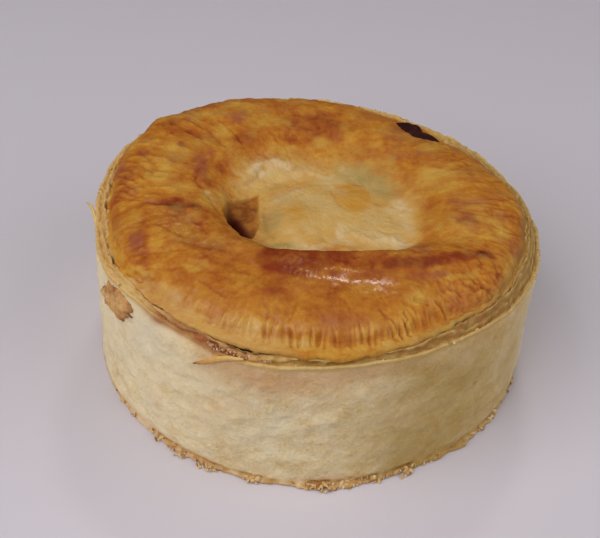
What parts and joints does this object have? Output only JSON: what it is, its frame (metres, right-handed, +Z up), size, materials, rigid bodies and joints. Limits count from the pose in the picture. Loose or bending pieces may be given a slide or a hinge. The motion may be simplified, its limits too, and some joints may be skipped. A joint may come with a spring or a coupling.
{
  "type": "meat pie",
  "caption": "Round deep meat pie, uncut: pale shortcrust case under a glazed, puffed lid with a sunken middle and a steam vent.",
  "frame": {"origin": "middle of the pie's box, on the flat underside it stands on", "axes": "+Z up, -Y towards the front, the side that the picture shows nearest"},
  "size_m": [0.1099, 0.106, 0.0476],
  "materials": {
    "shortcrust": "matt, pale baked dough",
    "glazed_pastry": "egg-washed, satin golden brown"
  },
  "bodies": {
    "root": {"filled_case": "shortcrust", "lid": "glazed_pastry"}
  },
  "joints": []
}
